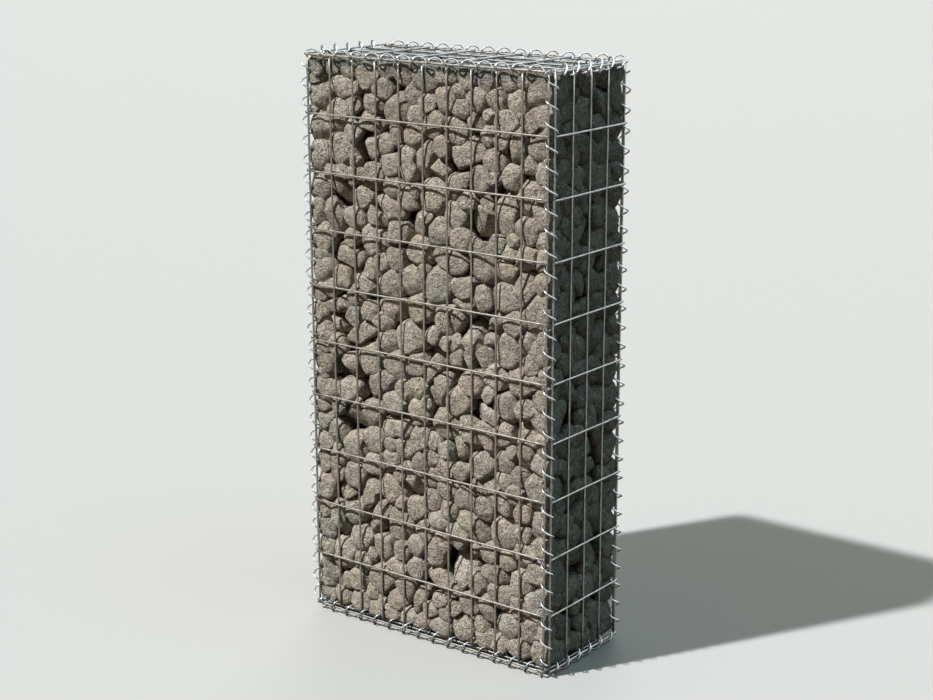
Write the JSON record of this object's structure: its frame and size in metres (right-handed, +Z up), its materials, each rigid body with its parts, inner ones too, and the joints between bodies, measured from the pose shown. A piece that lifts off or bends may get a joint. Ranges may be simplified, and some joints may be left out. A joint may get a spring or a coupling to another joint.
{
  "type": "gabion wall",
  "caption": "Free-standing welded mesh gabion basket filled with rounded stones, its panels laced together along every edge with helical wire coils.",
  "frame": {"origin": "on the ground under the middle of the wall, at the lowest turns of the bottom coils", "axes": "+X along the wall to the right as seen from the front, +Y from front to back, +Z up; the front faces -Y"},
  "size_m": [0.5324, 0.2324, 1.0235],
  "materials": {
    "mesh_wire": "dull galvanised",
    "coil_wire": "bright galvanised",
    "stone": "matte"
  },
  "bodies": {
    "root": {"front_mesh": "mesh_wire", "back_mesh": "mesh_wire", "right_mesh": "mesh_wire", "left_mesh": "mesh_wire", "lid_mesh": "mesh_wire", "base_mesh": "mesh_wire", "front_right_coil": "coil_wire", "front_left_coil": "coil_wire", "back_right_coil": "coil_wire", "back_left_coil": "coil_wire", "top_front_coil": "coil_wire", "top_back_coil": "coil_wire", "bottom_front_coil": "coil_wire", "bottom_back_coil": "coil_wire", "top_right_coil": "coil_wire", "top_left_coil": "coil_wire", "bottom_right_coil": "coil_wire", "bottom_left_coil": "coil_wire", "stone_fill": "stone"}
  },
  "joints": []
}
